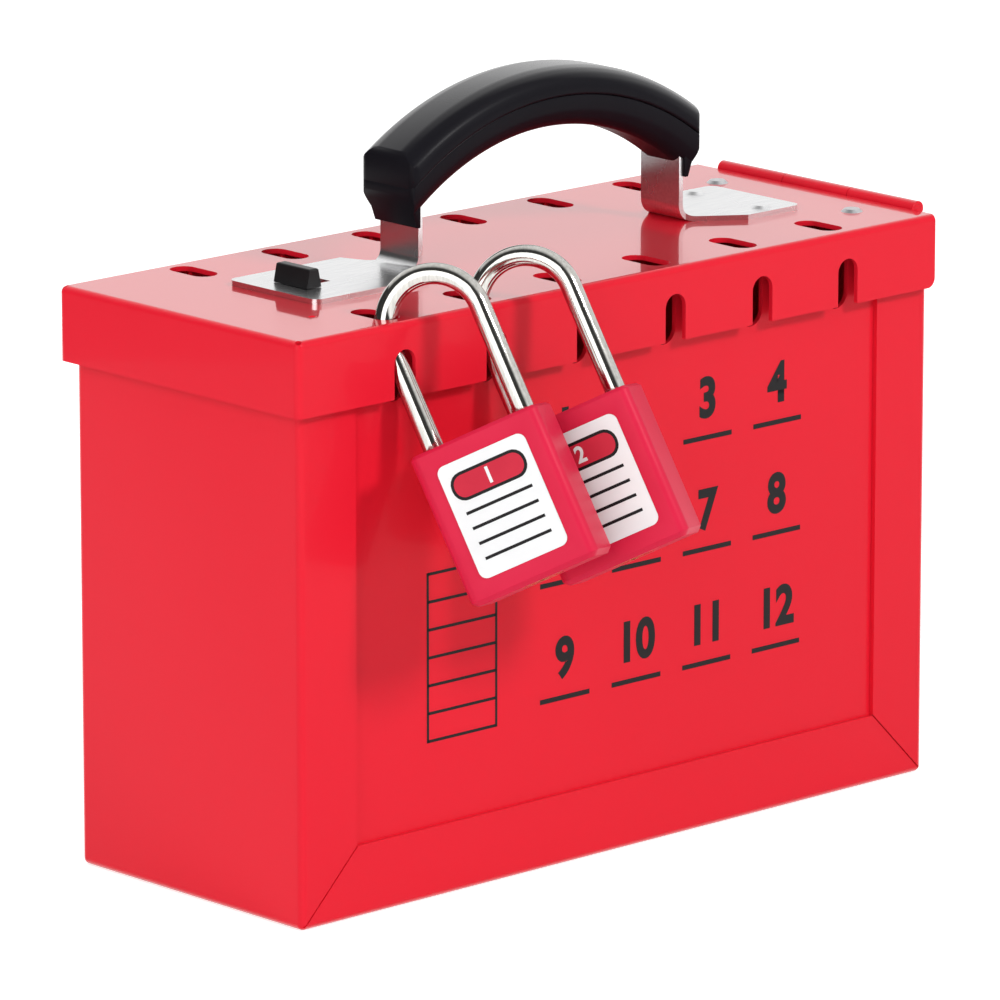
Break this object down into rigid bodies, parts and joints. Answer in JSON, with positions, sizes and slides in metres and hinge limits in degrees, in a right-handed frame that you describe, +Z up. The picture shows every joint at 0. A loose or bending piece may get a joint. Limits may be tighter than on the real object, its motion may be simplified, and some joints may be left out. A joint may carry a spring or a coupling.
{
  "type": "group lockout box",
  "caption": "Red sheet-steel lockout box with a hinged lid, sliding latch, black carrying handle, rows of padlock slots and padlocks hung in its front edge.",
  "frame": {"origin": "centre of the case's flat underside", "axes": "+X right along the front, away from the latch and towards the lid's hinge; +Y to the back; +Z up"},
  "size_m": [0.2622, 0.1636, 0.2285],
  "materials": {
    "red_paint": "gloss powder coat",
    "bright_steel": "bright plated steel",
    "zinc_steel": "zinc plated",
    "rivet_alloy": "satin",
    "black_grip": "moulded, semi-matte",
    "black_button": "moulded, semi-matte",
    "shackle_steel": "bright plated steel",
    "padlock_red": "moulded, satin gloss",
    "label_white": "printed film",
    "lock_brass": "machined"
  },
  "bodies": {
    "case": {"case_wrap": "red_paint", "front_panel": "red_paint", "back_panel": "red_paint", "hinge_leaf_case": "red_paint", "hinge_pin": "red_paint", "hinge_rivets_case": "rivet_alloy", "latch_keeper": "zinc_steel"},
    "lid": {"lid_shell": "red_paint", "hinge_leaf_lid": "red_paint", "hinge_rivets_lid": "rivet_alloy", "handle_strap": "bright_steel", "handle_rivets": "bright_steel", "grip_upper_shell": "black_grip", "grip_lower_shell": "black_grip", "latch_guide": "zinc_steel"},
    "latch": {"latch_button": "black_button", "latch_slide": "zinc_steel", "latch_rivet": "zinc_steel"},
    "shackle_1": {"shackle_1": "shackle_steel"},
    "padlock_1": {"padlock_body_1": "padlock_red", "padlock_label_1": "label_white", "lock_barrel_1": "lock_brass"},
    "key_plug_1": {"key_plug_1": "lock_brass"},
    "shackle_2": {"shackle_2": "shackle_steel"},
    "padlock_2": {"padlock_body_2": "padlock_red", "padlock_label_2": "label_white", "lock_barrel_2": "lock_brass"},
    "key_plug_2": {"key_plug_2": "lock_brass"}
  },
  "joints": [
    {"name": "lid_hinge", "type": "hinge", "parent": "case", "child": "lid", "pos_m": [0.1294, 0, 0.1743], "axis": [0, 1, 0], "range_deg": [0, 180]},
    {"name": "latch_travel", "type": "slide", "parent": "lid", "child": "latch", "axis": [1, 0, 0], "range_m": [0, 0.008]},
    {"name": "padlock_1_swing", "type": "hinge", "parent": "lid", "child": "shackle_1", "pos_m": [-0.0895, -0.0505, 0.17], "axis": [-1, 0, 0], "range_deg": [0, 8]},
    {"name": "padlock_1_release", "type": "slide", "parent": "shackle_1", "child": "padlock_1", "axis": [0.103, -0.464, -0.8798], "range_m": [0, 0.01]},
    {"name": "key_1_turn", "type": "hinge", "parent": "padlock_1", "child": "key_plug_1", "pos_m": [-0.07401, -0.09338, 0.10359], "axis": [-0.103, 0.464, 0.8798], "range_deg": [0, 90]},
    {"name": "padlock_2_swing", "type": "hinge", "parent": "lid", "child": "shackle_2", "pos_m": [-0.0537, -0.0505, 0.17], "axis": [-1, 0, 0], "range_deg": [0, 8]},
    {"name": "padlock_2_release", "type": "slide", "parent": "shackle_2", "child": "padlock_2", "axis": [0.103, -0.464, -0.8798], "range_m": [0, 0.01]},
    {"name": "key_2_turn", "type": "hinge", "parent": "padlock_2", "child": "key_plug_2", "pos_m": [-0.03821, -0.09338, 0.10359], "axis": [-0.103, 0.464, 0.8798], "range_deg": [0, 90]}
  ]
}
